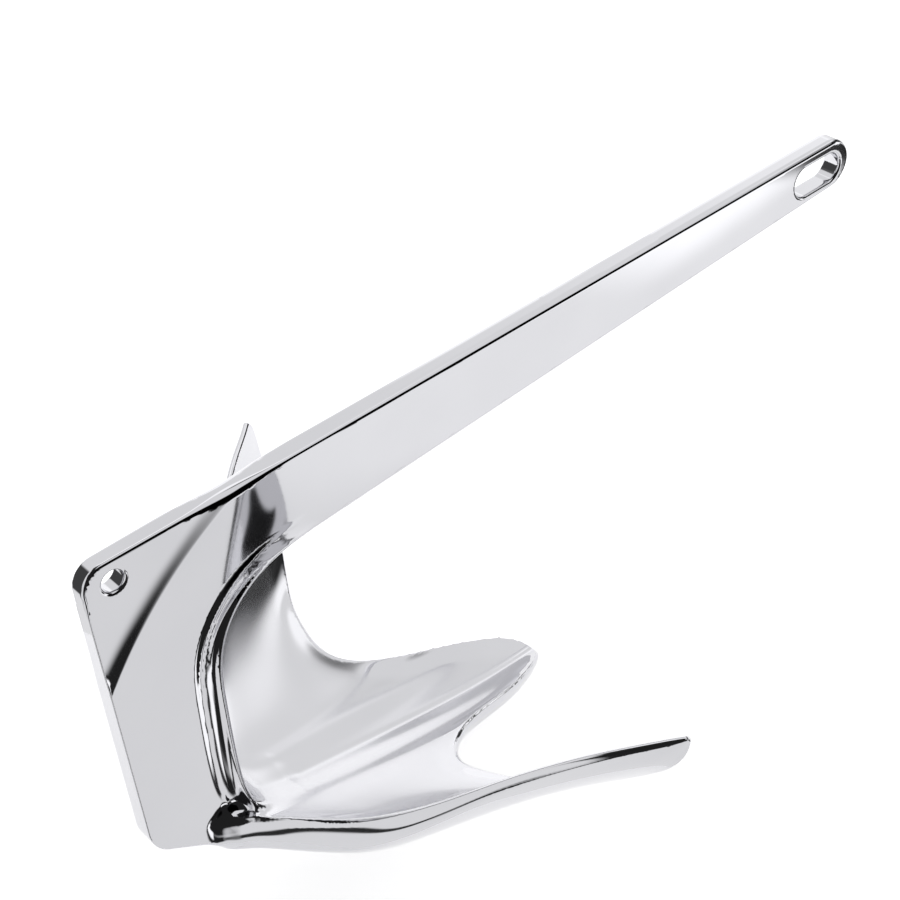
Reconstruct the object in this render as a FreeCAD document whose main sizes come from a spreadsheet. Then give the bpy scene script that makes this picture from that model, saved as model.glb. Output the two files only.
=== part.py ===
import FreeCAD, Part
import math
import os

# Claw anchor, one polished stainless casting.
# Modelling frame: X runs along the top edge of the shank from the crown corner
# to the cable end, Z is up in the plane of the shank, Y is the width.
V = FreeCAD.Vector
doc = FreeCAD.newDocument("claw_anchor")

# ---------------------------------------------------------------- sizes (mm)
sheet = doc.addObject("Spreadsheet::Sheet", "Sizes")
rows = [
    ("shank_reach", 446.3),       # crown back edge to centre of the rounded end
    ("end_radius", 13.3),         # rounded cable end of the shank
    ("end_drop", 15.0),           # centre of the rounded end below the top edge
    ("crown_radius", 11.4),       # outer corner of the crown
    ("root_depth", 44.2),         # depth of the shank where the throat begins
    ("throat_radius", 41.8),      # curve from shank to web
    ("throat_face", 46.5),        # front face of the web, from the back edge
    ("web_drop", 163.9),          # height of the back edge
    ("heel_radius", 20.9),        # rounded heel at the foot of the back edge
    ("web_foot", 195.7),          # lowest point of the web inside the fluke
    ("plate_thick", 10.8),        # shank and web
    ("crown_thick", 8.2),         # thinner triangle round the trip hole
    ("crown_slope", 4.8),         # width of the slope between the two thicknesses
    ("zone_reach", 91.2),         # border arc of the thin triangle: on the top edge
    ("zone_mid_x", 39.9),         # its middle
    ("zone_mid_drop", 25.6),
    ("zone_drop", 76.0),          # and on the back edge
    ("edge_round", 1.5),          # rounding of the outer plate edges
    ("trip_x", 14.5),             # trip line hole
    ("trip_drop", 11.0),
    ("trip_diameter", 10.4),
    ("rim_bevel", 1.1),           # bevel of both holes
    ("slot_x", 436.3),            # cable slot, centre
    ("slot_drop", 16.5),
    ("slot_width", 15.8),
    ("slot_reach", 33.2),         # overall length of the slot
    ("half_span", 159.6),         # half the width over the two side flukes
    ("fluke_fat", 1.0),           # thickness factor of the fluke sheet
    ("flange_wide", 23.8),        # width of the throat flange at its foot
    ("flange_thick", 8.5),
    ("rest_roll", -26.64),        # attitude at rest: rolled on to the far side fluke
    ("rest_pitch", 2.81),
]
for i, (name, val) in enumerate(rows):
    cell = "A%d" % (i + 1)
    sheet.set("B%d" % (i + 1), name)
    sheet.set(cell, repr(val))
    sheet.setAlias(cell, name)
doc.recompute()


def q(name):
    return float(getattr(sheet, name))


def plane(body, role):
    for f in body.Origin.OriginFeatures:
        if f.Role == role:
            return f


def sketch_on(body, name, role="XZ_Plane"):
    sk = body.newObject("Sketcher::SketchObject", name)
    sk.AttachmentSupport = [(plane(body, role), "")]
    sk.MapMode = "FlatFace"
    return sk


def line(a, b):
    return Part.LineSegment(V(a[0], a[1], 0), V(b[0], b[1], 0))


def arc3(a, m, b):
    return Part.Arc(V(a[0], a[1], 0), V(m[0], m[1], 0), V(b[0], b[1], 0))


def corner(p, a, b, r):
    """Rounds the corner p between points a and b: start, middle and end of the arc."""
    ua = (V(a[0], a[1], 0) - V(p[0], p[1], 0)).normalize()
    ub = (V(b[0], b[1], 0) - V(p[0], p[1], 0)).normalize()
    half = ua.getAngle(ub) / 2.0
    d = r / math.tan(half)
    s = V(p[0], p[1], 0) + ua * d
    e = V(p[0], p[1], 0) + ub * d
    mid = (ua + ub).normalize()
    c = V(p[0], p[1], 0) + mid * (r / math.sin(half))
    m = c - mid * r
    return (s.x, s.y), (m.x, m.y), (e.x, e.y)


# ------------------------------------------------------------ plate: shank and web
def tangent_from(p, c, r, side):
    """Point where the line from p touches the circle of radius r round c."""
    dx, dy = c[0] - p[0], c[1] - p[1]
    dist = math.hypot(dx, dy)
    ang = math.atan2(dy, dx) + side * math.asin(r / dist)
    ln = math.sqrt(dist * dist - r * r)
    return (p[0] + ln * math.cos(ang), p[1] + ln * math.sin(ang))


cx, cz, er = q("shank_reach"), -q("end_drop"), q("end_radius")
A0 = (0.0, 0.0)
Pthroat = (q("throat_face"), -q("root_depth") - 2.6)
Pfoot = (q("throat_face"), -q("web_foot"))
Pheel = (0.0, -q("web_drop"))
T1 = tangent_from(A0, (cx, cz), er, 1)
T2 = tangent_from(Pthroat, (cx, cz), er, -1)
c1 = corner(A0, Pheel, T1, q("crown_radius"))
c2 = corner(Pthroat, Pfoot, T2, q("throat_radius"))
c3 = corner(Pheel, Pfoot, A0, q("heel_radius"))


def outline():
    return [
        line(c1[2], T1),
        arc3(T1, (cx + er, cz), T2),
        line(T2, c2[2]),
        arc3(c2[2], c2[1], c2[0]),
        line(c2[0], Pfoot),
        line(Pfoot, c3[0]),
        arc3(c3[0], c3[1], c3[2]),
        line(c3[2], c1[0]),
        arc3(c1[0], c1[1], c1[2]),
    ]


def spline(points):
    c = Part.BSplineCurve()
    c.interpolate([V(p[0], p[1], 0) for p in points])
    return c


def edges_of(shape, test):
    return ["Edge%d" % (i + 1) for i, e in enumerate(shape.Edges) if test(e)]


def flat_at(e, y):
    return abs(e.BoundBox.YMin - y) < 1e-4 and abs(e.BoundBox.YMax - y) < 1e-4


def pad_of(body, name, thick):
    sk = sketch_on(body, name + "_outline")
    sk.addGeometry(outline(), False)
    pad = body.newObject("PartDesign::Pad", name + "_pad")
    pad.Profile = sk
    pad.Midplane = True
    pad.setExpression("Length", "Sizes." + thick)
    return pad


def through(body, name, geometry):
    sk = sketch_on(body, name + "_outline")
    sk.addGeometry(geometry, False)
    pk = body.newObject("PartDesign::Pocket", name)
    pk.Profile = sk
    pk.Type = 1
    pk.Midplane = True
    return pk


def round_outline(body, name, thick, length):
    half = q(thick) / 2
    tip = body.Tip
    names = edges_of(tip.Shape, lambda e: (flat_at(e, half) or flat_at(e, -half)) and not
                     (e.BoundBox.XMin > 38.0 and e.BoundBox.XMax < 91.2 and e.BoundBox.ZMax < -38.0)
                     and not (e.Curve.TypeId == "Part::GeomCircle" and e.Curve.Radius > 76))
    f = body.newObject("PartDesign::Fillet", name)
    f.Base = (tip, names)
    f.setExpression("Radius", length)
    return f


# thin plate of the whole outline; it shows at the crown, round the trip hole
web = doc.addObject("PartDesign::Body", "crown_plate")
pad_of(web, "crown", "crown_thick")
doc.recompute()
round_outline(web, "crown_rounding", "crown_thick", "Sizes.edge_round * 0.8")
doc.recompute()

# thicker plate of the shank and the rest of the web, sloped off towards the crown
shank = doc.addObject("PartDesign::Body", "shank_plate")
pad_of(shank, "shank", "plate_thick")
zone_top = (q("zone_reach"), 3.8)
zone_mid = (q("zone_mid_x"), -q("zone_mid_drop"))
zone_end = (-5.7, -q("zone_drop"))
through(shank, "crown_zone", [
    line(zone_end, (-5.7, 3.8)), line((-5.7, 3.8), zone_top), arc3(zone_top, zone_mid, zone_end)])
doc.recompute()
half = q("plate_thick") / 2
names = edges_of(shank.Tip.Shape, lambda e: (flat_at(e, half) or flat_at(e, -half)) and
                 e.Curve.TypeId == "Part::GeomCircle" and e.Curve.Radius > 76)
tip = shank.Tip
ch = shank.newObject("PartDesign::Chamfer", "crown_slope")
ch.Base = (tip, names)
ch.ChamferType = "Two distances"
ch.setExpression("Size2", "(Sizes.plate_thick - Sizes.crown_thick) / 2 + 0.1")
ch.setExpression("Size", "Sizes.crown_slope")
doc.recompute()
round_outline(shank, "shank_rounding", "plate_thick", "Sizes.edge_round")
doc.recompute()

# cable slot through both plates, trip line hole through the thin one
sr = q("slot_width") / 2
sh = q("slot_reach") / 2 - sr
sx, sz = q("slot_x"), -q("slot_drop")


def slot():
    return [
        line((sx - sh, sz + sr), (sx + sh, sz + sr)),
        arc3((sx + sh, sz + sr), (sx + sh + sr, sz), (sx + sh, sz - sr)),
        line((sx + sh, sz - sr), (sx - sh, sz - sr)),
        arc3((sx - sh, sz - sr), (sx - sh - sr, sz), (sx - sh, sz + sr)),
    ]


through(web, "crown_slot", slot())
through(shank, "shank_slot", slot())
through(web, "trip_hole", [Part.Circle(V(q("trip_x"), -q("trip_drop"), 0), V(0, 0, 1), q("trip_diameter") / 2)])
doc.recompute()


def bevel(body, name, thick, inside):
    half = q(thick) / 2
    tip = body.Tip
    rims = edges_of(tip.Shape, lambda e: (flat_at(e, half) or flat_at(e, -half)) and inside(e.BoundBox))
    f = body.newObject("PartDesign::Chamfer", name)
    f.Base = (tip, rims)
    f.setExpression("Size", "Sizes.rim_bevel")


bevel(web, "trip_bevel", "crown_thick", lambda b: b.XMin > q("trip_x") - 7.0 and b.XMax < q("trip_x") + 7.0
      and b.ZMax < -4.0 and b.ZMin > -20.0)
bevel(shank, "slot_bevel", "plate_thick", lambda b: b.XMin > sx - sh - sr - 1.0 and b.XMax < sx + sh + sr + 1.0
      and b.ZMax < sz + sr + 1.0 and b.ZMin > sz - sr - 1.0)
doc.recompute()

# ------------------------------------------------------------ fluke sheet
# Ribs of the fluke from the rear rim to the front rim, centre line first and
# then outwards to the tip of one side fluke; the other side is its mirror image.
# Each row: rear point, front point, hollow, thickness rear / middle / front,
# how far the underside stands below the rear rim, and near the tips the
# direction across the sheet.
ribs = [
    ((32.9, 0.0, -175.4), (231.8, 0.0, -208.4), 9.1, 13.1, 17.1, 7.2, 11.4),
    ((33.1, 2.5, -175.4), (229.5, 6.0, -206.1), 9.1, 13.1, 17.1, 7.2, 11.6),
    ((33.7, 5.1, -175.4), (221.5, 12.5, -202.3), 8.9, 12.9, 16.9, 7.6, 11.8),
    ((35.3, 8.5, -175.4), (204.6, 19.8, -198.2), 8.5, 12.7, 16.5, 8.4, 12.0),
    ((38.3, 11.9, -175.2), (184.5, 25.1, -193.2), 8.0, 12.3, 16.1, 9.1, 12.3),
    ((42.7, 15.8, -174.8), (165.9, 29.8, -188.5), 7.3, 12.0, 15.6, 9.3, 12.9),
    ((47.9, 21.2, -174.2), (151.4, 36.9, -185.2), 6.6, 11.6, 15.0, 9.1, 13.5),
    ((54.5, 29.1, -173.2), (142.3, 46.0, -181.6), 5.9, 11.2, 14.4, 8.4, 14.2),
    ((62.7, 41.0, -170.4), (138.7, 55.9, -177.5), 5.5, 10.6, 13.9, 7.2, 14.6),
    ((71.9, 55.3, -165.3), (139.3, 65.9, -174.0), 5.1, 10.1, 13.1, 6.3, 13.7),
    ((83.9, 72.8, -156.0), (142.7, 78.7, -171.0), 4.6, 9.7, 12.2, 5.7, 8.7),
    ((99.1, 89.1, -145.7), (150.3, 93.9, -168.0), 3.9, 9.3, 11.2, 5.3, 3.4),
    ((115.2, 103.9, -135.0), (159.5, 109.4, -161.9), 3.2, 7.0, 9.6, 5.4, 0.9, (0.514, -0.023, 0.858)),
    ((131.6, 118.2, -126.5), (168.3, 124.8, -154.3), 2.4, 5.5, 7.0, 4.4, 0.0, (0.600, -0.232, 0.766)),
    ((147.0, 131.6, -120.0), (175.5, 138.0, -146.2), 1.7, 4.4, 5.5, 3.5, 0.0, (0.633, -0.542, 0.553)),
    ((160.9, 143.0, -116.1), (180.2, 149.0, -136.9), 0.9, 3.9, 4.8, 3.1, 0.0, (0.630, -0.711, 0.312)),
    ((173.3, 152.4, -113.9), (182.6, 155.3, -125.5), 0.4, 3.4, 4.0, 2.8, 0.0, (0.641, -0.749, 0.168)),
    ((179.5, 157.8, -112.7), (182.8, 157.5, -116.5), 0.0, 2.6, 2.8, 2.4, 0.0, (0.636, -0.753, 0.169)),
]
grow = q("half_span") / 159.6
fat = q("fluke_fat")


def rib_points(rib, side):
    R, F, sag, tr, tm, tf, keel = rib[:7]
    R = V(R[0], R[1] * side, R[2]) * grow
    F = V(F[0], F[1] * side, F[2]) * grow
    tr, tm, tf, sag, keel = tr * fat, tm * fat, tf * fat, sag * grow, keel * grow
    c = F - R
    ln = c.Length
    across = V(c.x, c.y, 0)
    across.normalize()
    nrm = V(-c.z * across.x, -c.z * across.y, math.hypot(c.x, c.y))
    if len(rib) > 7:
        nrm = V(rib[7][0], rib[7][1] * side, rib[7][2])
    nrm.normalize()
    ar, af = min(tr / 2 / ln, 0.45), min(tf / 2 / ln, 0.45)
    caps = [0.0, 30.0, 60.0, 90.0]
    stations = [ar * (1 - math.cos(math.radians(a))) for a in caps]
    inner = [0.12, 0.3, 0.5, 0.7, 0.88]
    stations += [ar + (1 - af - ar) * s for s in inner]
    stations += [1 - af * (1 - math.cos(math.radians(a))) for a in reversed(caps)]

    def half(s):
        k = 0.38
        if s < k:
            u = s / k
            t = tr + (tm - tr) * (u * u * (3 - 2 * u))
        else:
            u = (s - k) / (1 - k)
            t = tm + (tf - tm) * (u * u * (3 - 2 * u))
        if s < ar:
            t *= math.sqrt(max(0.0, 1 - ((ar - s) / ar) ** 2))
        if s > 1 - af:
            t *= math.sqrt(max(0.0, 1 - ((s - 1 + af) / af) ** 2))
        return t / 2

    def mid(s):
        return R + c * s + V(0, 0, -sag * 4 * s * (1 - s))

    top = [mid(s) + nrm * half(s) for s in stations]
    low = [mid(s) - nrm * (half(s) + keel * math.sin(math.pi * s ** 0.45)) for s in stations[1:-1]]
    low.reverse()
    return top + low


def skin(sections):
    """Closed smooth body through closed sections that have the same number of points."""
    n = len(sections[0])
    around = []
    for pts in sections:
        c = Part.BSplineCurve()
        c.interpolate(Points=pts, Parameters=[float(i) for i in range(n + 1)], PeriodicFlag=True)
        around.append(c)
    gaps = []
    for a, b in zip(sections, sections[1:]):
        gaps.append(sum(p.distanceToPoint(r) for p, r in zip(a, b)) / n)
    par = [0.0]
    for g in gaps:
        par.append(par[-1] + math.sqrt(g))
    polesets = [c.getPoles() for c in around]
    grid = []
    for j in range(len(polesets[0])):
        c = Part.BSplineCurve()
        c.interpolate(Points=[p[j] for p in polesets], Parameters=par)
        grid.append(c)
    poles = [[g.getPoles()[i] for g in grid] for i in range(len(grid[0].getPoles()))]
    face = Part.BSplineSurface()
    face.buildFromPolesMultsKnots(
        poles, grid[0].getMultiplicities(), around[0].getMultiplicities(),
        grid[0].getKnots(), around[0].getKnots(), False, True, grid[0].Degree, around[0].Degree)
    tube = face.toShape()
    caps = []
    for c in (around[0], around[-1]):
        caps.append(Part.Face(Part.Wire([c.toShape()])))
    shell = Part.makeShell([tube] + caps)
    shell.sewShape()
    if shell.ShapeType != "Shell":
        shell = shell.Shells[0]
    solid = Part.Solid(shell)
    if solid.Volume < 0:
        solid.reverse()
    return solid


order = [(r, -1) for r in reversed(ribs[1:])] + [(ribs[0], 1)] + [(r, 1) for r in ribs[1:]]
fluke = doc.addObject("Part::Feature", "fluke_sheet")
fluke.Shape = skin([rib_points(r, s) for r, s in order])

# ------------------------------------------------------------ throat flange
# The front face of the web widens downwards and flares out into the hollow of
# the fluke.
# Each row: front face x, z, tilt of the section, share of the full width.
throat = [
    (125.4, -41.8, 88.0, 0.30),
    (106.4, -45.2, 84.0, 0.36),
    (89.3, -47.9, 74.0, 0.44),
    (74.1, -53.6, 58.0, 0.53),
    (60.8, -65.4, 36.0, 0.62),
    (53.2, -81.7, 16.0, 0.71),
    (50.7, -102.6, 4.0, 0.79),
    (49.6, -125.4, 0.0, 0.87),
    (49.4, -148.2, -4.0, 0.94),
    (51.1, -161.5, -12.0, 1.00),
    (55.1, -171.0, -30.0, 1.10),
    (62.7, -178.2, -54.0, 1.28),
    (74.1, -184.3, -68.0, 1.44),
]
fw, ft = q("flange_wide"), q("flange_thick")


def flange_points(row):
    # front face slightly crowned, rounded rim, back swept in to the web's faces
    x, z, tilt, share = row
    a = math.radians(tilt)
    fx, fz = math.cos(a), -math.sin(a)          # outward direction of the front face
    w = fw * share / 2
    base = min(q("plate_thick") / 2 - 0.2, w * 0.8)
    half = [(0.0, 0.0), (0.1, 0.4 * w), (0.4, 0.76 * w), (0.16 * ft, 0.94 * w), (0.34 * ft, w)]
    for i in range(6):
        k = (i + 1) / 6.0
        half.append((ft * (0.34 + k), base + (0.98 * w - base) * (1 - k) ** 2.2))
    half += [(ft * 1.44, base * 0.62), (ft * 1.47, 0.0)]
    ring = half + [(u, -v) for u, v in reversed(half[1:-1])]
    return [V(x - fx * u, v, z - fz * u) for u, v in ring]


flange = doc.addObject("Part::Feature", "throat_flange")
flange.Shape = skin([flange_points(r) for r in throat])
doc.recompute()

# ------------------------------------------------------------ one casting
anchor = doc.addObject("Part::MultiFuse", "anchor_body")
anchor.Shapes = [web, shank, fluke, flange]
anchor.Refine = True
doc.recompute()

# attitude at rest on a level floor: bottom at Z = 0, origin under the middle
turn = (FreeCAD.Rotation(V(0, 1, 0), q("rest_pitch")) * FreeCAD.Rotation(V(1, 0, 0), q("rest_roll")))
turned = anchor.Shape.copy()
turned.Placement = FreeCAD.Placement(V(0, 0, 0), turn)
box = turned.optimalBoundingBox(False, False)
anchor.Label = "anchor_body"
anchor.Placement = FreeCAD.Placement(V(-box.Center.x, -box.Center.y, -box.ZMin), turn)
doc.recompute()

for o in doc.Objects:
    if "Invalid" in o.State or "Error" in o.State:
        raise RuntimeError("%s: %s" % (o.Name, o.State))
if anchor.Shape.isNull() or not anchor.Shape.isValid() or len(anchor.Shape.Solids) != 1:
    raise RuntimeError("anchor_body is not one valid solid")

os.makedirs("parts", exist_ok=True)
anchor.Shape.exportStep("parts/anchor_body.step")
b = anchor.Shape.optimalBoundingBox(False, False)
print("anchor_body", round(anchor.Shape.Volume / 1000.0, 2), "cm3",
      [round(v, 2) for v in (b.XMin, b.YMin, b.ZMin, b.XMax, b.YMax, b.ZMax)])
p = anchor.Placement.Base
print("offset", [round(v, 3) for v in (p.x, p.y, p.z)])
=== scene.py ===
import math

import bmesh
import bpy
import numpy as np
from mathutils import Matrix, Vector
from mathutils.bvhtree import BVHTree


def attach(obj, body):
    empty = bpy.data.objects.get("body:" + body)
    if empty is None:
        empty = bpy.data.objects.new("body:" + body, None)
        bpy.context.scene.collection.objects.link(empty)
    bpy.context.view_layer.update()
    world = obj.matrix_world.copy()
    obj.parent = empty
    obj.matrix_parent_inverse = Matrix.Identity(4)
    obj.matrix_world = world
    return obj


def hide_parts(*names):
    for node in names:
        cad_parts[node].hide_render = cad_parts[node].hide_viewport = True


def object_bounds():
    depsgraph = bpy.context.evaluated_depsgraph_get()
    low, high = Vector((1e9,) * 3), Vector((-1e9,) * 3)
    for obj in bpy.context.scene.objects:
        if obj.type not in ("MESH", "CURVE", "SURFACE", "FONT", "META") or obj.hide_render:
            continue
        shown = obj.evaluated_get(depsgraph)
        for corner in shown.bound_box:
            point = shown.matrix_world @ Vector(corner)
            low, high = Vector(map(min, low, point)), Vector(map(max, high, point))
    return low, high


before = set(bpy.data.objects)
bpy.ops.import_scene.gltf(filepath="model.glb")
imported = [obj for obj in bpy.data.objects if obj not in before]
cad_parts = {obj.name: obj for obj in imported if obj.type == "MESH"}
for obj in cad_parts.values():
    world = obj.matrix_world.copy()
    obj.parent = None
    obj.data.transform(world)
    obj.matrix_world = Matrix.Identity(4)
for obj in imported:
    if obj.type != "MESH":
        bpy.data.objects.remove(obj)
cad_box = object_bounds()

# Claw anchor. The visible skin is one closed mesh of the whole casting: the flat
# shank and web, the throat flange and the fluke sheet run into each other with
# soft fillets, as on the polished casting.
# Lengths of the shape are in millimetres in the plane of the shank: X along its
# top edge from the crown to the cable end, Z up, Y across. "row" is the frame of
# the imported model, in which the anchor lies on one side fluke.

ROLL, PITCH = math.radians(-26.64), math.radians(2.81)
ROT = np.array(Matrix.Rotation(PITCH, 3, "Y") @ Matrix.Rotation(ROLL, 3, "X"))
OFFSET = np.array((-225.842, 52.537, 202.991))
STEP = 1.42


def to_row(p):
    return (np.asarray(p) @ ROT.T + OFFSET) / 1000.0


# ------------------------------------------------------------ plate outline
END, END_R = (446.3, -15.0), 13.3
CROWN_R, HEEL_R, THROAT_R = 11.4, 20.9, 41.8
THROAT = (46.5, -46.8)
FOOT = (46.5, -195.7)
HEEL = (0.0, -163.9)
TRIP, TRIP_R = (14.5, -11.0), 5.2
SLOT, SLOT_W, SLOT_L = (436.3, -16.5), 15.8, 33.2
THICK, THIN = 10.8, 8.2
ZONE = ((91.2, 3.8), (39.9, -25.6), (-5.7, -76.0))


def tangent_from(p, c, r, side):
    dx, dy = c[0] - p[0], c[1] - p[1]
    dist = math.hypot(dx, dy)
    ang = math.atan2(dy, dx) + side * math.asin(r / dist)
    ln = math.sqrt(dist * dist - r * r)
    return np.array((p[0] + ln * math.cos(ang), p[1] + ln * math.sin(ang)))


def corner(p, a, b, r):
    p, a, b = np.array(p), np.array(a), np.array(b)
    ua = (a - p) / np.linalg.norm(a - p)
    ub = (b - p) / np.linalg.norm(b - p)
    half = math.acos(float(np.clip(ua @ ub, -1, 1))) / 2
    d = r / math.tan(half)
    mid = ua + ub
    mid /= np.linalg.norm(mid)
    return p + ua * d, p + mid * (r / math.sin(half)), p + ub * d


T1 = tangent_from((0.0, 0.0), END, END_R, 1)
T2 = tangent_from(THROAT, END, END_R, -1)
C1 = corner((0.0, 0.0), HEEL, T1, CROWN_R)
C2 = corner(THROAT, FOOT, T2, THROAT_R)
C3 = corner(HEEL, FOOT, (0.0, 0.0), HEEL_R)
EDGES = [
    ("line", C1[2], T1), ("arc", np.array(END), END_R, T1, T2, 1),
    ("line", T2, C2[2]), ("arc", C2[1], THROAT_R, C2[2], C2[0], -1),
    ("line", C2[0], np.array(FOOT)), ("line", np.array(FOOT), C3[0]),
    ("arc", C3[1], HEEL_R, C3[0], C3[2], 1), ("line", C3[2], C1[0]),
    ("arc", C1[1], CROWN_R, C1[0], C1[2], 1),
]


def outline_distance(q):
    best = np.full(len(q), 1e9)
    sign = np.ones(len(q))
    for e in EDGES:
        if e[0] == "line":
            a, b = e[1], e[2]
            d = (b - a) / np.linalg.norm(b - a)
            ln = np.linalg.norm(b - a)
            n = np.array((-d[1], d[0]))
            rel = q - a
            t = np.clip(rel @ d, 0, ln)
            dist = np.linalg.norm(rel - t[:, None] * d, axis=1)
            s = np.where(rel @ n >= 0, 1.0, -1.0)
        else:
            _, c, r, a, b, turn = e
            rel = q - c
            ln = np.maximum(np.linalg.norm(rel, axis=1), 1e-9)
            ma = (a - c) / r
            mb = (b - c) / r
            mid = ma + mb
            if np.linalg.norm(mid) < 1e-3:
                mid = np.array((1.0, 0.0))
            mid /= np.linalg.norm(mid)
            if e[2] == END_R:
                mid = np.array((1.0, -0.04))
                mid /= np.linalg.norm(mid)
            cosh = min(float(ma @ mid), float(mb @ mid))
            within = (rel @ mid) / ln >= cosh
            dist = np.where(within, np.abs(ln - r), np.minimum(
                np.linalg.norm(q - a, axis=1), np.linalg.norm(q - b, axis=1)))
            s = np.where(ln >= r, 1.0, -1.0) * turn
        closer = dist < best - 1e-7
        tie = np.abs(dist - best) <= 1e-7
        sign = np.where(closer, s, np.where(tie, np.maximum(s, sign), sign))
        best = np.minimum(dist, best)
    return best * sign


def circle_through(a, b, c):
    (ax, ay), (bx, by), (cx, cy) = a, b, c
    d = 2 * (ax * (by - cy) + bx * (cy - ay) + cx * (ay - by))
    ux = ((ax * ax + ay * ay) * (by - cy) + (bx * bx + by * by) * (cy - ay) + (cx * cx + cy * cy) * (ay - by)) / d
    uy = ((ax * ax + ay * ay) * (cx - bx) + (bx * bx + by * by) * (ax - cx) + (cx * cx + cy * cy) * (bx - ax)) / d
    return np.array((ux, uy)), math.hypot(ax - ux, ay - uy)


ZONE_C, ZONE_R = circle_through(*ZONE)


def hole_gap(q):
    """Distance outside the walls of the trip line hole and the cable slot."""
    hole = np.linalg.norm(q - np.array(TRIP), axis=1) - TRIP_R
    mid = np.clip(q[:, 0], SLOT[0] - SLOT_L / 2 + SLOT_W / 2, SLOT[0] + SLOT_L / 2 - SLOT_W / 2)
    return np.minimum(hole, np.hypot(q[:, 0] - mid, q[:, 1] - SLOT[1]) - SLOT_W / 2)


def plate_distance(p):
    """Flat plate with rounded edges; thinner in the triangle round the trip line hole."""
    q = p[:, [0, 2]]
    d = np.maximum(outline_distance(q), -hole_gap(q))
    inner = np.linalg.norm(q - ZONE_C, axis=1)
    # distance past the border arc, positive towards the thick side
    past = (inner - ZONE_R) * ZONE_SIDE
    past = np.maximum(past, np.maximum(q[:, 0] - 95.0, -q[:, 1] - 75.0))
    inside = np.clip(-past, 0, 70)
    # a long shallow fall towards the crown, steeper next to its border, most of all at the two ends
    ends = np.clip(np.hypot(q[:, 0] - 39.9, q[:, 1] + 25.6) / 62.0, 0, 1) ** 2
    lip = 0.36 + 0.45 * ends
    half = THICK / 2 - ((THICK - THIN) / 2 - lip) * inside / 66.0 - lip * (1 - (1 + inside / 3.0) * np.exp(-inside / 3.0))
    half = np.maximum(half, THIN / 2)
    # the rounding is wide where the recess runs out at the top edge, tight down the heel
    r = 1.45 + 3.2 * np.exp(-((q[:, 0] - 74.0) / 17.0) ** 2) * np.clip(1 + q[:, 1] / 26.0, 0, 1)
    r = r + 0.75 * np.clip((q[:, 0] - 110.0) / 90.0, 0, 1) * np.clip((q[:, 1] + 16.0) / 10.0, 0, 1)
    heel = np.clip((9.0 - q[:, 0]) / 5.0, 0, 1) * np.clip((-14.0 - q[:, 1]) / 8.0, 0, 1)
    r = r * (1 - heel) + 0.6 * heel
    a = d + r
    b = np.abs(p[:, 1]) - half + r
    return np.minimum(np.maximum(a, b), 0) + np.hypot(np.maximum(a, 0), np.maximum(b, 0)) - r


ZONE_SIDE = 1.0 if np.linalg.norm(np.array((200.0, -100.0)) - ZONE_C) > ZONE_R else -1.0

# ------------------------------------------------------------ fluke sheet
# rear point, front point, hollow, thickness rear / middle / front, keel, and
# near the tips the direction across the sheet
RIBS = [
    ((32.9, 0.0, -175.4), (231.8, 0.0, -208.4), 9.1, 13.1, 17.1, 7.2, 11.4),
    ((33.1, 2.5, -175.4), (229.5, 6.0, -206.1), 9.1, 13.1, 17.1, 7.2, 11.6),
    ((33.7, 5.1, -175.4), (221.5, 12.5, -202.3), 8.9, 12.9, 16.9, 7.6, 11.8),
    ((35.3, 8.5, -175.4), (204.6, 19.8, -198.2), 8.5, 12.7, 16.5, 8.4, 12.0),
    ((38.3, 11.9, -175.2), (184.5, 25.1, -193.2), 8.0, 12.3, 16.1, 9.1, 12.3),
    ((42.7, 15.8, -174.8), (165.9, 29.8, -188.5), 7.3, 12.0, 15.6, 9.3, 12.9),
    ((47.9, 21.2, -174.2), (151.4, 36.9, -185.2), 6.6, 11.6, 15.0, 9.1, 13.5),
    ((54.5, 29.1, -173.2), (142.3, 46.0, -181.6), 5.9, 11.2, 14.4, 8.4, 14.2),
    ((62.7, 41.0, -170.4), (138.7, 55.9, -177.5), 5.5, 10.6, 13.9, 7.2, 14.6),
    ((71.9, 55.3, -165.3), (139.3, 65.9, -174.0), 5.1, 10.1, 13.1, 6.3, 13.7),
    ((83.9, 72.8, -156.0), (142.7, 78.7, -171.0), 4.6, 9.7, 12.2, 5.7, 8.7),
    ((99.1, 89.1, -145.7), (150.3, 93.9, -168.0), 3.9, 9.3, 11.2, 5.3, 3.4),
    ((115.2, 103.9, -135.0), (159.5, 109.4, -161.9), 3.2, 7.0, 9.6, 5.4, 0.9, (0.514, -0.023, 0.858)),
    ((131.6, 118.2, -126.5), (168.3, 124.8, -154.3), 2.4, 5.5, 7.0, 4.4, 0.0, (0.600, -0.232, 0.766)),
    ((147.0, 131.6, -120.0), (175.5, 138.0, -146.2), 1.7, 4.4, 5.5, 3.5, 0.0, (0.633, -0.542, 0.553)),
    ((160.9, 143.0, -116.1), (180.2, 149.0, -136.9), 0.9, 3.9, 4.8, 3.1, 0.0, (0.630, -0.711, 0.312)),
    ((173.3, 152.4, -113.9), (182.6, 155.3, -125.5), 0.4, 3.4, 4.0, 2.8, 0.0, (0.641, -0.749, 0.168)),
    ((179.5, 157.8, -112.7), (182.8, 157.5, -116.5), 0.0, 2.6, 2.8, 2.4, 0.0, (0.636, -0.753, 0.169)),
]
# front face x, z, tilt, share of the width
FLANGE = [
    (125.4, -41.8, 88.0, 0.12), (106.4, -45.2, 84.0, 0.28), (89.3, -47.9, 74.0, 0.44),
    (74.1, -53.6, 58.0, 0.53), (60.8, -65.4, 36.0, 0.62), (53.2, -81.7, 16.0, 0.71),
    (50.7, -102.6, 4.0, 0.79), (49.6, -125.4, 0.0, 0.87), (49.4, -148.2, -4.0, 0.94),
    (51.1, -161.5, -12.0, 1.00), (55.1, -171.0, -30.0, 1.10), (62.7, -178.2, -54.0, 1.28),
    (74.1, -184.3, -68.0, 1.44),
]
FLANGE_W, FLANGE_T = 23.8, 8.5


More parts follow.
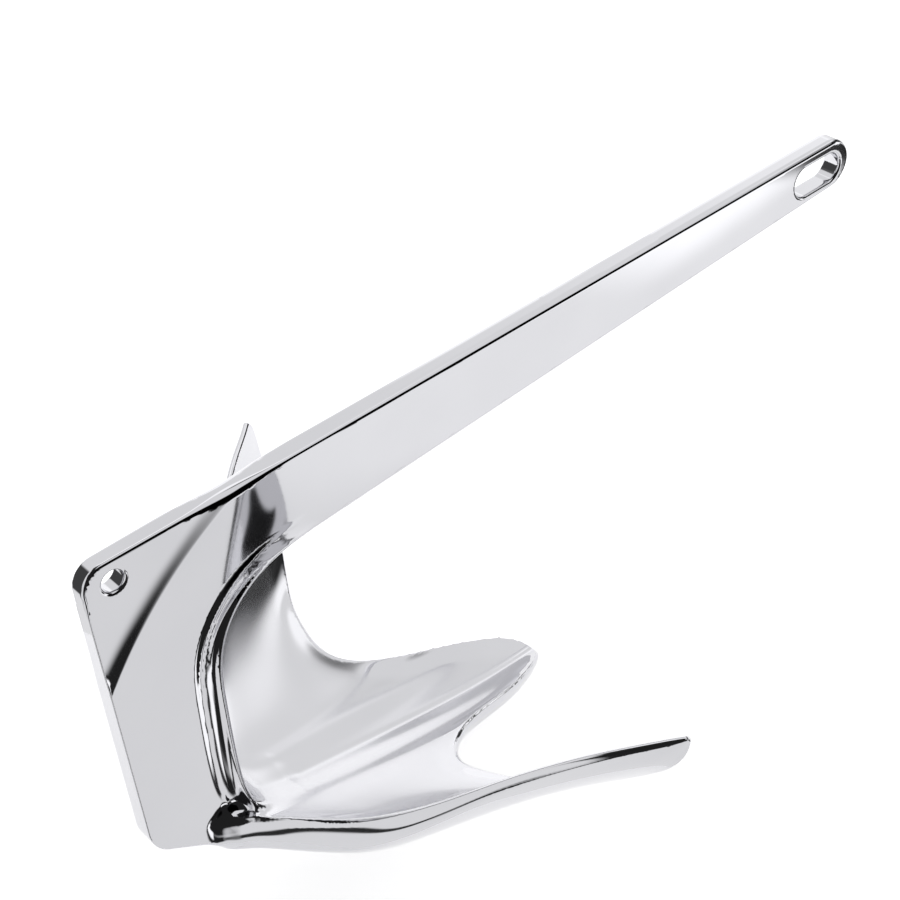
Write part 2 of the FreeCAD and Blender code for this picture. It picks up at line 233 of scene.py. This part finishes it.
def rib_points(rib, side):
    R, F, sag, tr, tm, tf, keel = rib[:7]
    R = np.array((R[0], R[1] * side, R[2]))
    F = np.array((F[0], F[1] * side, F[2]))
    c = F - R
    ln = np.linalg.norm(c)
    across = np.array((c[0], c[1], 0.0))
    across /= np.linalg.norm(across)
    nrm = np.array((-c[2] * across[0], -c[2] * across[1], math.hypot(c[0], c[1])))
    if len(rib) > 7:
        nrm = np.array((rib[7][0], rib[7][1] * side, rib[7][2]))
    nrm /= np.linalg.norm(nrm)
    ar, af = min(tr / 2 / ln, 0.45), min(tf / 2 / ln, 0.45)
    caps = [0.0, 30.0, 60.0, 90.0]
    st = [ar * (1 - math.cos(math.radians(a))) for a in caps]
    st += [ar + (1 - af - ar) * s for s in (0.12, 0.3, 0.5, 0.7, 0.88)]
    st += [1 - af * (1 - math.cos(math.radians(a))) for a in reversed(caps)]

    def half(s):
        k = 0.38
        if s < k:
            u = s / k
            t = tr + (tm - tr) * (u * u * (3 - 2 * u))
        else:
            u = (s - k) / (1 - k)
            t = tm + (tf - tm) * (u * u * (3 - 2 * u))
        if s < ar:
            t *= math.sqrt(max(0.0, 1 - ((ar - s) / ar) ** 2))
        if s > 1 - af:
            t *= math.sqrt(max(0.0, 1 - ((s - 1 + af) / af) ** 2))
        return t / 2

    def mid(s):
        return R + c * s + np.array((0, 0, -sag * 4 * s * (1 - s)))

    top = [mid(s) + nrm * half(s) for s in st]
    low = [mid(s) - nrm * (half(s) + keel * math.sin(math.pi * s ** 0.45)) for s in st[1:-1]]
    return np.array(top + low[::-1])


def flange_points(row):
    x, z, tilt, share = row
    a = math.radians(tilt)
    fx, fz = math.cos(a), -math.sin(a)
    w = FLANGE_W * share / 2
    ft = FLANGE_T
    base = min(THICK / 2 - 0.2, w * 0.8)
    half = [(0.0, 0.0), (0.1, 0.4 * w), (0.4, 0.76 * w), (0.16 * ft, 0.94 * w), (0.34 * ft, w)]
    for i in range(6):
        k = (i + 1) / 6.0
        half.append((ft * (0.34 + k), base + (0.98 * w - base) * (1 - k) ** 2.2))
    half += [(ft * 1.44, base * 0.62), (ft * 1.47, 0.0)]
    ring = half + [(u, -v) for u, v in reversed(half[1:-1])]
    return np.array([(x - fx * u, v, z - fz * u) for u, v in ring])


def ring_spline(pts, parts):
    """Closed smooth curve through the points, with parts[i] steps in span i."""
    n = len(pts)
    A = np.eye(n) * 4 + np.roll(np.eye(n), 1, 0) + np.roll(np.eye(n), -1, 0)
    nxt, prv = np.roll(pts, -1, 0), np.roll(pts, 1, 0)
    M = np.linalg.solve(A, 6 * (nxt - 2 * pts + prv))
    out = []
    for i in range(n):
        u = np.arange(parts[i])[:, None] / parts[i]
        j = (i + 1) % n
        out.append((1 - u) * pts[i] + u * pts[j] + ((1 - u) ** 3 - (1 - u)) * M[i] / 6 + (u ** 3 - u) * M[j] / 6)
    return np.concatenate(out)


def span_spline(rows, par, steps):
    """Smooth interpolation of whole rings along the span."""
    n = len(rows)
    h = np.diff(par)
    A = np.zeros((n, n))
    B = np.zeros_like(rows)
    A[0, 0] = A[-1, -1] = 1
    for i in range(1, n - 1):
        A[i, i - 1], A[i, i], A[i, i + 1] = h[i - 1], 2 * (h[i - 1] + h[i]), h[i]
        B[i] = 6 * ((rows[i + 1] - rows[i]) / h[i] - (rows[i] - rows[i - 1]) / h[i - 1])
    M = np.linalg.solve(A, B.reshape(n, -1)).reshape(rows.shape)
    out = []
    for i in range(n - 1):
        for s in range(steps + (1 if i == n - 2 else 0)):
            u = s / steps
            k = h[i] * h[i] / 6
            out.append((1 - u) * rows[i] + u * rows[i + 1] + k * ((1 - u) ** 3 - (1 - u)) * M[i] + k * (u ** 3 - u) * M[i + 1])
    return np.array(out)


class Skin:
    """Closed lofted body with its signed distance and smooth normals."""

    def __init__(self, sections, parts, steps):
        sections = np.array(sections)
        gap = np.linalg.norm(np.diff(sections, axis=0), axis=2).mean(1)
        par = np.concatenate(([0.0], np.cumsum(np.sqrt(gap))))
        rings = np.array([ring_spline(s, parts) for s in sections])
        G = span_spline(rings, par, steps)
        nu, nv = G.shape[:2]
        du = np.gradient(G, axis=0)
        dv = np.roll(G, -1, 1) - np.roll(G, 1, 1)
        N = np.cross(du, dv)
        N /= np.maximum(np.linalg.norm(N, axis=2, keepdims=True), 1e-9)
        out = (G - G.mean(1, keepdims=True))
        if (N * out).sum() < 0:
            N = -N
        idx = np.arange(nu * nv).reshape(nu, nv)
        a, b = idx[:-1], idx[1:]
        a2, b2 = np.roll(a, -1, 1), np.roll(b, -1, 1)
        tris = np.concatenate([np.stack([a, b, b2], -1).reshape(-1, 3), np.stack([a, b2, a2], -1).reshape(-1, 3)])
        verts = G.reshape(-1, 3)
        norms = N.reshape(-1, 3).copy()
        caps_v, caps_n, caps_t = [], [], []
        base = len(verts)
        for k, ring in enumerate((idx[0], idx[-1])):
            c = verts[ring].mean(0)
            away = c - verts[idx[1] if k == 0 else idx[-2]].mean(0)
            n = np.cross(verts[ring] - c, verts[np.roll(ring, -1)] - c).sum(0)
            n /= np.linalg.norm(n)
            if n @ away < 0:
                n = -n
            norms[ring] += n
            norms[ring] /= np.linalg.norm(norms[ring], axis=1, keepdims=True)
            caps_v.append(c)
            caps_n.append(n)
            caps_t.append(np.stack([ring, np.roll(ring, -1), np.full(nv, base + k)], -1))
        verts = np.concatenate([verts, caps_v])
        norms = np.concatenate([norms, caps_n])
        tris = np.concatenate([tris] + caps_t)
        fn = np.cross(verts[tris[:, 1]] - verts[tris[:, 0]], verts[tris[:, 2]] - verts[tris[:, 0]])
        flip = (fn * norms[tris].mean(1)).sum(1) < 0
        tris[flip] = tris[flip][:, ::-1]
        self.v, self.n, self.t = verts, norms, tris
        self.tree = BVHTree.FromPolygons(verts.tolist(), tris.tolist(), all_triangles=True)
        self.lo, self.hi = verts.min(0), verts.max(0)

    def distance(self, p, reach, normals=False):
        d = np.full(len(p), 50.0)
        n = np.zeros((len(p), 3)) if normals else None
        near = np.nonzero(((p > self.lo - reach) & (p < self.hi + reach)).all(1))[0]
        if len(near) == 0:
            return (d, n) if normals else d
        find = self.tree.find_nearest
        loc = np.empty((len(near), 3))
        fnr = np.empty((len(near), 3))
        face = np.empty(len(near), dtype=np.int64)
        for i, q in enumerate(p[near].tolist()):
            l, m, f, _ = find(q)
            loc[i] = l
            fnr[i] = m
            face[i] = f
        t = self.t[face]
        a, b, c = self.v[t[:, 0]], self.v[t[:, 1]], self.v[t[:, 2]]
        v0, v1, v2 = b - a, c - a, loc - a
        d00, d01, d11 = (v0 * v0).sum(1), (v0 * v1).sum(1), (v1 * v1).sum(1)
        d20, d21 = (v2 * v0).sum(1), (v2 * v1).sum(1)
        den = np.maximum(d00 * d11 - d01 * d01, 1e-12)
        w1 = np.clip((d11 * d20 - d01 * d21) / den, 0, 1)
        w2 = np.clip((d00 * d21 - d01 * d20) / den, 0, 1)
        w0 = np.clip(1 - w1 - w2, 0, 1)
        m = w0[:, None] * self.n[t[:, 0]] + w1[:, None] * self.n[t[:, 1]] + w2[:, None] * self.n[t[:, 2]]
        m /= np.maximum(np.linalg.norm(m, axis=1, keepdims=True), 1e-9)
        rel = p[near] - loc
        s = np.where((rel * (m + 0.5 * fnr)).sum(1) >= 0, 1.0, -1.0)
        size = np.linalg.norm(rel, axis=1)
        d[near] = s * size
        if not normals:
            return d
        n[near] = m
        return d, n


CAP, RUN = 5, 14
fluke_parts = [CAP] * 3 + [RUN] * 6 + [CAP] * 6 + [RUN] * 6 + [CAP] * 3
order = [(r, -1) for r in reversed(RIBS[1:])] + [(RIBS[0], 1)] + [(r, 1) for r in RIBS[1:]]
fluke = Skin([rib_points(r, s) for r, s in order], fluke_parts, 10)
flange = Skin([flange_points(r) for r in FLANGE], [6] * 24, 12)

BLEND_ROOT, BLEND_FLANGE = 9.0, 3.0


def soft_min(a, b, k):
    h = np.maximum(k - np.abs(a - b), 0) / k
    return np.minimum(a, b) - h * h * k / 4


def soft_weight(a, b, k):
    """Share of b in the blend of a and b."""
    h = np.maximum(k - np.abs(a - b), 0) / k
    return np.where(a <= b, h / 2, 1 - h / 2)


def body_distance(p):
    q = p.copy()
    q[:, 1] = np.abs(q[:, 1])
    stem = soft_min(plate_distance(q), flange.distance(q, 12.0), BLEND_FLANGE)
    return soft_min(stem, fluke.distance(q, 12.0), BLEND_ROOT)


def body_normal(p):
    """Distance and unit normal at points close to the skin."""
    side = np.where(p[:, 1] < 0, -1.0, 1.0)
    q = p.copy()
    q[:, 1] = np.abs(q[:, 1])
    e = 0.02
    dp = plate_distance(q)
    gp = np.zeros_like(q)
    for i in range(3):
        s = np.zeros(3)
        s[i] = e
        gp[:, i] = (plate_distance(q + s) - plate_distance(q - s)) / (2 * e)
    df, gf = flange.distance(q, 4.0, True)
    dk, gk = fluke.distance(q, 8.0, True)
    w = soft_weight(dp, df, BLEND_FLANGE)[:, None]
    stem = soft_min(dp, df, BLEND_FLANGE)
    gs = gp * (1 - w) + gf * w
    w = soft_weight(stem, dk, BLEND_ROOT)[:, None]
    d = soft_min(stem, dk, BLEND_ROOT)
    g = gs * (1 - w) + gk * w
    ln = np.maximum(np.linalg.norm(g, axis=1, keepdims=True), 1e-6)
    g = g / ln
    g[:, 1] *= side
    return d / ln[:, 0], g


def build_skin(step):
    """Closed mesh of the zero level of body_distance on a grid of the given step."""
    lo = np.array((-3.2, 0.0, -225.6))
    big = step * 12
    n = np.ceil((np.array((462.0, 162.0, 3.0)) - lo) / big).astype(int)
    cells = np.stack(np.meshgrid(*[np.arange(k) for k in n], indexing="ij"), -1).reshape(-1, 3)
    size = big
    for part in (3, 4):
        d = body_distance(lo + (cells + 0.5) * size)
        cells = cells[np.abs(d) < size * 0.90 + (1.8 if part == 3 else 0.2)]
        sub = np.stack(np.meshgrid(*[np.arange(part)] * 3, indexing="ij"), -1).reshape(-1, 3)
        cells = (cells[:, None, :] * part + sub).reshape(-1, 3)
        size /= part
    S = 4096

    def key(ijk):
        return (ijk[..., 0].astype(np.int64) * S + ijk[..., 1]) * S + ijk[..., 2]

    offs = np.stack(np.meshgrid((0, 1), (0, 1), (0, 1), indexing="ij"), -1).reshape(-1, 3)
    nodes = np.unique(key(cells[:, None, :] + offs).ravel())
    ijk = np.stack([nodes // (S * S), (nodes // S) % S, nodes % S], -1)
    val = body_distance(lo + ijk * step)
    val[val == 0] = 1e-6

    def value(c3):
        k = c3.copy()
        k[..., 1] = np.abs(k[..., 1])
        return val[np.searchsorted(nodes, key(k))]

    mirror = cells.copy()
    mirror[:, 1] = -1 - mirror[:, 1]
    cells = np.concatenate([cells, mirror])
    cv = np.stack([value(cells + o) for o in offs], -1)
    live = (cv.min(1) < 0) & (cv.max(1) > 0)
    cells, cv = cells[live], cv[live]
    pos = np.zeros((len(cells), 3))
    cnt = np.zeros(len(cells))
    for a in range(8):
        for b in range(a + 1, 8):
            if np.abs(offs[a] - offs[b]).sum() != 1:
                continue
            cross = (cv[:, a] < 0) != (cv[:, b] < 0)
            t = np.where(cross, cv[:, a] / np.where(cross, cv[:, a] - cv[:, b], 1), 0)
            pos += np.where(cross[:, None], offs[a] + t[:, None] * (offs[b] - offs[a]), 0)
            cnt += cross
    verts = lo + (cells + pos / cnt[:, None]) * step
    ck = ((cells[:, 0].astype(np.int64)) * S + (cells[:, 1] + 1024)) * S + cells[:, 2]
    sort = np.argsort(ck)
    cks = ck[sort]

    def cell_index(c3):
        k = (c3[:, 0].astype(np.int64) * S + (c3[:, 1] + 1024)) * S + c3[:, 2]
        i = np.clip(np.searchsorted(cks, k), 0, len(cks) - 1)
        return np.where(cks[i] == k, sort[i], -1)

    quads = []
    corner_id = {tuple(o): i for i, o in enumerate(offs.tolist())}
    for ax in range(3):
        o = [0, 0, 0]
        o[ax] = 1
        v0 = cv[:, corner_id[(0, 0, 0)]]
        v1 = cv[:, corner_id[tuple(o)]]
        cross = np.nonzero((v0 < 0) != (v1 < 0))[0]
        u, w = [i for i in range(3) if i != ax]
        eu = np.zeros(3, int)
        eu[u] = 1
        ew = np.zeros(3, int)
        ew[w] = 1
        c = cells[cross]
        q = np.stack([cross, cell_index(c - eu), cell_index(c - eu - ew), cell_index(c - ew)], -1)
        q = q[(q >= 0).all(1)]
        quads.append(q)
    quads = np.concatenate(quads)
    # only the casting itself: loose specks of the grid are left out
    mark = np.arange(len(verts))
    while True:
        low = mark[quads].min(1)
        new = mark.copy()
        np.minimum.at(new, quads.ravel(), np.repeat(low, 4))
        new = new[new]
        if (new == mark).all():
            break
        mark = new
    keep = np.bincount(mark, minlength=len(verts)).argmax()
    quads = quads[mark[quads[:, 0]] == keep]
    used, quads = np.unique(quads, return_inverse=True)
    return verts[used], quads.reshape(-1, 4)


def settle(verts, rounds):
    for _ in range(rounds):
        d, g = body_normal(verts)
        verts = verts - g * np.clip(d, -0.4, 0.4)[:, None]
    return verts


def on_flat(p, n):
    """True on the two flat faces of the plate, away from edges and fillets."""
    q = p.copy()
    q[:, 1] = np.abs(q[:, 1])
    return (np.abs(n[:, 1]) > 0.999999) & (plate_distance(q) < 1e-3) & (p[:, 2] > -190)


def hollow_share(p, n):
    """1 on the upper face of the fluke sheet, fading out towards its rims, its tips and the web."""
    rims = []
    for end in (0, 1):
        pts = np.array([r[end] for r in RIBS])
        u = np.linspace(0, len(pts) - 1, 220)
        rims.append(np.stack([np.interp(u, np.arange(len(pts)), pts[:, i]) for i in range(3)], -1))
    rims = np.concatenate(rims)
    q = p.copy()
    q[:, 1] = np.abs(q[:, 1])
    gap = np.empty(len(q))
    for i in range(0, len(q), 4000):
        gap[i:i + 4000] = np.linalg.norm(q[i:i + 4000, None] - rims, axis=2).min(1)

    def fade(x, lo, hi):
        k = np.clip((x - lo) / (hi - lo), 0, 1)
        return k * k * (3 - 2 * k)

    share = fade(gap, 6, 13) * fade(n[:, 2], 0.05, 0.3) * fade(plate_distance(q), 8, 16) * fade(-q[:, 2], 100, 110)
    return share * (1 - fade(q[:, 1], 102, 114))


def skin_object(name):
    verts, quads = build_skin(STEP)
    verts = settle(verts, 3)
    _, n = body_normal(verts)
    flat = on_flat(verts, n)
    mesh = bpy.data.meshes.new(name + "_raw")
    mesh.from_pydata(verts.tolist(), [], quads.tolist())
    bm = bmesh.new()
    bm.from_mesh(mesh)
    bpy.data.meshes.remove(mesh)
    # the flat faces need no grid: their squares are joined and cut into triangles
    bm.verts.ensure_lookup_table()
    inner = [e for e in bm.edges if len(e.link_faces) == 2
             and all(flat[v.index] for f in e.link_faces for v in f.verts)]
    centre = [v for v in bm.verts if flat[v.index] and all(flat[w.index] for f in v.link_faces for w in f.verts)]
    bmesh.ops.dissolve_limit(bm, angle_limit=0.002, verts=centre, edges=inner)
    # the holes' rims, the rounded edges and the fillets get a finer grid
    bm.verts.index_update()
    bm.edges.ensure_lookup_table()
    pts = np.array([w.co[:] for w in bm.verts])
    pair = np.array([[e.verts[0].index, e.verts[1].index] for e in bm.edges])
    _, pn = body_normal(pts)
    turn = np.degrees(np.arccos(np.clip((pn[pair[:, 0]] * pn[pair[:, 1]]).sum(1), -1, 1)))
    two = (turn > 30) | (hole_gap(pts[pair].mean(1)[:, [0, 2]]) < 2.6)
    one = (turn > 11) & ~two
    edges = list(bm.edges)
    bmesh.ops.subdivide_edges(bm, edges=[edges[i] for i in np.nonzero(two)[0]], cuts=2, use_grid_fill=True)
    bmesh.ops.subdivide_edges(bm, edges=[edges[i] for i in np.nonzero(one)[0] if edges[i].is_valid],
                              cuts=1, use_grid_fill=True)
    bmesh.ops.triangulate(bm, faces=bm.faces[:], quad_method="BEAUTY", ngon_method="BEAUTY")
    bm.verts.index_update()
    v = np.array([w.co[:] for w in bm.verts])
    t = np.array([[w.index for w in f.verts] for f in bm.faces])
    bm.free()
    v = settle(v, 2)
    _, n = body_normal(v)
    fn = np.cross(v[t[:, 1]] - v[t[:, 0]], v[t[:, 2]] - v[t[:, 0]])
    t = np.where(((fn * n[t].mean(1)).sum(1) < 0)[:, None], t[:, ::-1], t)
    cn = n[t] @ ROT.T
    final = bpy.data.meshes.new(name)
    # the grid leaves a few points up to 0.07 mm outside the CAD's box
    inside = np.clip(to_row(v), np.array(cad_box[0]), np.array(cad_box[1]))
    final.from_pydata(inside.tolist(), [], t.tolist())
    final.polygons.foreach_set("use_smooth", [True] * len(t))
    final.normals_split_custom_set(cn.reshape(-1, 3).tolist())
    final.update()
    layer = final.attributes.new("hollow", "FLOAT", "POINT")
    layer.data.foreach_set("value", hollow_share(v, n).astype(np.float32))
    obj = bpy.data.objects.new(name, final)
    bpy.context.scene.collection.objects.link(obj)
    print("skin", len(verts), "->", len(v), "verts", len(t), "tris")
    return obj


anchor = skin_object("anchor_skin")
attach(anchor, "root")
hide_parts("anchor_body")

# directions of the picture in the row frame: right, up and towards the camera
right = np.array((0.751055, -0.65492, -0.083637))
down = np.array((-0.460999, -0.4295, -0.776536))
look = np.array((0.472647, 0.621778, -0.624497))
AX_R, AX_U, AX_C = ROT @ right, -(ROT @ down), -(ROT @ look)


def math_node(tree, op, a, b=None, c=None, clamp=False):
    n = tree.nodes.new("ShaderNodeMath")
    n.operation = op
    n.use_clamp = clamp
    for i, x in enumerate((a, b, c)):
        if x is None:
            continue
        if isinstance(x, (int, float)):
            n.inputs[i].default_value = x
        else:
            tree.links.new(x, n.inputs[i])
    return n.outputs[0]


def smooth_step(tree, x, lo, hi, a=0.0, b=1.0):
    n = tree.nodes.new("ShaderNodeMapRange")
    n.interpolation_type = "SMOOTHSTEP"
    tree.links.new(x, n.inputs["Value"])
    n.inputs["From Min"].default_value = lo
    n.inputs["From Max"].default_value = hi
    n.inputs["To Min"].default_value = a
    n.inputs["To Max"].default_value = b
    return n.outputs["Result"]


def along(tree, vector, axis):
    n = tree.nodes.new("ShaderNodeVectorMath")
    n.operation = "DOT_PRODUCT"
    tree.links.new(vector, n.inputs[0])
    n.inputs[1].default_value = [float(k) for k in axis]
    return n.outputs["Value"]


# ------------------------------------------------------------ material
steel = bpy.data.materials.new("polished_stainless")
steel.use_nodes = True
nt = steel.node_tree
nt.nodes.clear()
out = nt.nodes.new("ShaderNodeOutputMaterial")
bsdf = nt.nodes.new("ShaderNodeBsdfPrincipled")
bsdf.inputs["Metallic"].default_value = 1.0
coord = nt.nodes.new("ShaderNodeTexCoord")
# faint cloudy variation of tone and polish
cloud = nt.nodes.new("ShaderNodeTexNoise")
cloud.inputs["Scale"].default_value = 14.0
cloud.inputs["Detail"].default_value = 3.0
nt.links.new(coord.outputs["Object"], cloud.inputs["Vector"])
tone = nt.nodes.new("ShaderNodeValToRGB")
tone.color_ramp.elements[0].position = 0.3
tone.color_ramp.elements[0].color = (0.622, 0.622, 0.648, 1)
tone.color_ramp.elements[1].position = 0.7
tone.color_ramp.elements[1].color = (0.655, 0.655, 0.680, 1)
nt.links.new(cloud.outputs["Fac"], tone.inputs["Fac"])
nt.links.new(tone.outputs["Color"], bsdf.inputs["Base Color"])
# the hollow of the flukes is hard to reach with the wheel and a little softer in its polish
hollow = nt.nodes.new("ShaderNodeAttribute")
hollow.attribute_name = "hollow"
nt.links.new(math_node(nt, "MULTIPLY_ADD", hollow.outputs["Fac"], 0.17,
                       smooth_step(nt, cloud.outputs["Fac"], 0.3, 0.7, 0.035, 0.060)), bsdf.inputs["Roughness"])
# the shank is polished slightly round across its width: height over its faces, in metres
plate_x, plate_z = ROT @ np.array((1.0, 0, 0)), ROT @ np.array((0, 0, 1.0))
px = math_node(nt, "SUBTRACT", along(nt, coord.outputs["Object"], plate_x), float(plate_x @ OFFSET) / 1000)
pz = math_node(nt, "SUBTRACT", along(nt, coord.outputs["Object"], plate_z), float(plate_z @ OFFSET) / 1000)
k = (T2[1] - C2[2][1]) / (T2[0] - C2[2][0])
low_edge = math_node(nt, "MULTIPLY_ADD", px, float(k), float(C2[2][1] - k * C2[2][0]) / 1000)
s = math_node(nt, "DIVIDE", math_node(nt, "SUBTRACT", pz, math_node(nt, "MULTIPLY", low_edge, 0.5)),
              math_node(nt, "MULTIPLY", low_edge, -0.5))
s = math_node(nt, "MAXIMUM", math_node(nt, "MINIMUM", s, 1.0), -1.0)
crown = math_node(nt, "MULTIPLY", math_node(nt, "MULTIPLY", s, s), -0.00028)
crown = math_node(nt, "MULTIPLY", crown, smooth_step(nt, px, 0.070, 0.180))
wave = nt.nodes.new("ShaderNodeTexNoise")
wave.inputs["Scale"].default_value = 22.0
wave.inputs["Detail"].default_value = 1.0
nt.links.new(coord.outputs["Object"], wave.inputs["Vector"])
height = math_node(nt, "MULTIPLY_ADD", wave.outputs["Fac"], 0.00006, crown)
bump = nt.nodes.new("ShaderNodeBump")
bump.inputs["Strength"].default_value = 1.0
bump.inputs["Distance"].default_value = 1.0
nt.links.new(height, bump.inputs["Height"])
nt.links.new(bump.outputs["Normal"], bsdf.inputs["Normal"])
nt.links.new(bsdf.outputs["BSDF"], out.inputs["Surface"])
anchor.data.materials.append(steel)

# ------------------------------------------------------------ floor
# a pale sheet a little larger than the picture, brighter towards its far side
fm = bpy.data.meshes.new("floor")
fm.from_pydata([(0.00, 0.56, 0), (-0.345, 0.015, 0), (0.08, -0.295, 0), (0.62, 0.19, 0)], [], [(0, 1, 2, 3)])
floor = bpy.data.objects.new("floor", fm)
bpy.context.scene.collection.objects.link(floor)
fmat = bpy.data.materials.new("floor_white_painted_glow")
fmat.use_nodes = True
ft = fmat.node_tree
fb = ft.nodes["Principled BSDF"]
fb.inputs["Base Color"].default_value = (0.88, 0.88, 0.885, 1)
fb.inputs["Roughness"].default_value = 0.9
fb.inputs["Specular IOR Level"].default_value = 0.1
fc = ft.nodes.new("ShaderNodeTexCoord")
fy = along(ft, fc.outputs["Object"], (0.35, 0.94, 0))
# painted light: the sheet glows through its emission, brighter towards its far side, standing in for light falling
# from that side and lifting the anchor's shadow off the floor; the glow also shows in the steel's reflections
fb.inputs["Emission Color"].default_value = (1, 1, 1, 1)
ft.links.new(smooth_step(ft, fy, -0.14, 0.16, 0.72, 0.95), fb.inputs["Emission Strength"])
fm.materials.append(fmat)

# ------------------------------------------------------------ light
# an even white studio with dark gaps: each entry is a strength and windows on
# mixes of the directions (right, up, towards the camera)
S = (1, 0.42, 0)
GLOW = [
    (0.42, [((0, 1, 0), 0.90, 9, 0.03), ((1, 0, 0), -0.35, 0.16, 0.06), ((0, 0, 1), 0.10, 0.42, 0.05)]),
    (0.45, [((0, 1, 0), 0.45, 9, 0.12), ((1, 0, 0), -0.60, 0.22, 0.10), ((0, 0, 1), -9, -0.34, 0.10)]),
    (0.42, [((0, 1, 0), 0.68, 9, 0.05), ((1, 0, 0), 0.38, 0.60, 0.06), ((0, 0, 1), -0.10, 0.17, 0.05)]),
    (0.40, [((1, 0, 0), 0.80, 9, 0.02), ((0, 1, 0), -0.41, 9, 0.03), ((0, 0, 1), -0.275, 0.0, 0.03)]),
    (0.17, [((1, 0, 0), 0.785, 9, 0.02), ((0, 1, 0), -0.62, 9, 0.03), ((0, 0, 1), -0.40, 0.0, 0.05)]),
]
DARK = [
    (0.98, [(S, -0.43, 9, 0.05), ((0, 0, 1), 0.08, 9, 0.05), ((0, 1, 0), -9, 0.34, 0.06)]),
    (0.98, [(S, -0.43, 9, 0.05), ((-0.1, 0, 1), -0.125, 0.06, 0.03), ((0, 1, 0), -9, -0.62, 0.05)]),
    (0.97, [((1, 0, 0), 0.68, 9, 0.07), ((0, 1, 0), 0.30, 9, 0.05), ((0, 0, 1), -0.30, 0.34, 0.06)]),
    (0.98, [((1, 0, 0), 0.42, 9, 0.03), ((0, 1, 0), 0.345, 9, 0.02), ((0, 0, 1), -0.668, -0.592, 0.008)]),
    (0.96, [((1, 0, 0), 0.50, 9, 0.04), ((0, 1, 0), 0.28, 9, 0.05), ((0, 0, 1), -0.48, -0.16, 0.04)]),
    (0.96, [((1, 0, 0), 0.66, 9, 0.04), ((0, 0, 1), 0.0, 9, 0.03), ((0, 1, 0), -0.62, 0.30, 0.05)]),
    (0.97, [((0, 0, 1), -0.08, 0.02, 0.02), ((0, 1, 0), -9, -0.84, 0.03), ((1, 0, 0), -0.60, 0.0, 0.05)]),
    (0.93, [((1, 0, 0), -9, -0.72, 0.04), ((0, 1, 0), -0.60, 0.65, 0.06), ((0, 0, 1), -0.50, 0.36, 0.05)]),
    (0.97, [((1, 0, 0), -0.45, 0.22, 0.05), ((0, 1, 0), 0.25, 0.90, 0.04), ((0, 0, 1), 0.38, 9, 0.04)]),
    (0.97, [((1, 0, 0), 0.72, 9, 0.03), ((0, 1, 0), -0.325, 0.10, 0.012), ((0, 0, 1), -0.75, -0.22, 0.04)]),
]
WHITE = [
    (1.5, [((0, 0, 1), 0.005, 0.12, 0.02), ((1, 0, 0), 0.36, 0.655, 0.03), ((0, 1, 0), -9, -0.70, 0.03)]),
]
world = bpy.data.worlds.new("studio")
bpy.context.scene.world = world
world.use_nodes = True
wt = world.node_tree
wt.nodes.clear()
wo = wt.nodes.new("ShaderNodeOutputWorld")
bg = wt.nodes.new("ShaderNodeBackground")
wc = wt.nodes.new("ShaderNodeTexCoord")
direction = wc.outputs["Generated"]
mixes = {}


def window(parts):
    total = None
    for mix, lo, hi, soft in parts:
        if mix not in mixes:
            mixes[mix] = along(wt, direction, AX_R * mix[0] + AX_U * mix[1] + AX_C * mix[2])
        x = mixes[mix]
        for edge, rising in ((lo, True), (hi, False)):
            if abs(edge) > 8:
                continue
            v = smooth_step(wt, x, edge - soft, edge + soft, 0.0 if rising else 1.0, 1.0 if rising else 0.0)
            total = v if total is None else math_node(wt, "MULTIPLY", total, v)
    return total


value = math_node(wt, "ADD", 1.0, 0.0)
for gain, parts in GLOW:
    value = math_node(wt, "MULTIPLY_ADD", window(parts), gain, value)
for share, parts in DARK:
    value = math_node(wt, "MULTIPLY", value, math_node(wt, "MULTIPLY_ADD", window(parts), -share, 1.0))
for level, parts in WHITE:
    w = window(parts)
    value = math_node(wt, "ADD", math_node(wt, "MULTIPLY", value, math_node(wt, "SUBTRACT", 1.0, w)),
                      math_node(wt, "MULTIPLY", w, level))
# past the edge of the floor sheet the studio wall itself is seen plain and pale
path = wt.nodes.new("ShaderNodeLightPath")
value = math_node(wt, "MULTIPLY_ADD", path.outputs["Is Camera Ray"], math_node(wt, "SUBTRACT", 1.0, value), value)
bg.inputs["Color"].default_value = (1.0, 1.0, 1.0, 1)
wt.links.new(value, bg.inputs["Strength"])
wt.links.new(bg.outputs["Background"], wo.inputs["Surface"])
view = bpy.context.scene.view_settings
view.view_transform = "Standard"
view.look = "None"

# ------------------------------------------------------------ camera
# pose fitted to the outline of the anchor, in the plane of the shank (mm)
eye = np.array((-222.443, -544.679, 495.814))
cam_data = bpy.data.cameras.new("camera")
cam_data.sensor_width = 36.0
cam_data.sensor_fit = "HORIZONTAL"
cam_data.lens = 1927.708 / 900.0 * 36.0
cam_data.clip_start = 0.05
cam_data.clip_end = 30.0
camera = bpy.data.objects.new("camera", cam_data)
bpy.context.scene.collection.objects.link(camera)
axes = np.stack([AX_R, AX_U, AX_C], 1)
pose = Matrix([list(axes[i]) + [float(to_row(eye)[i])] for i in range(3)] + [[0, 0, 0, 1]])
camera.matrix_world = pose
bpy.context.scene.camera = camera

bpy.context.view_layer.update()
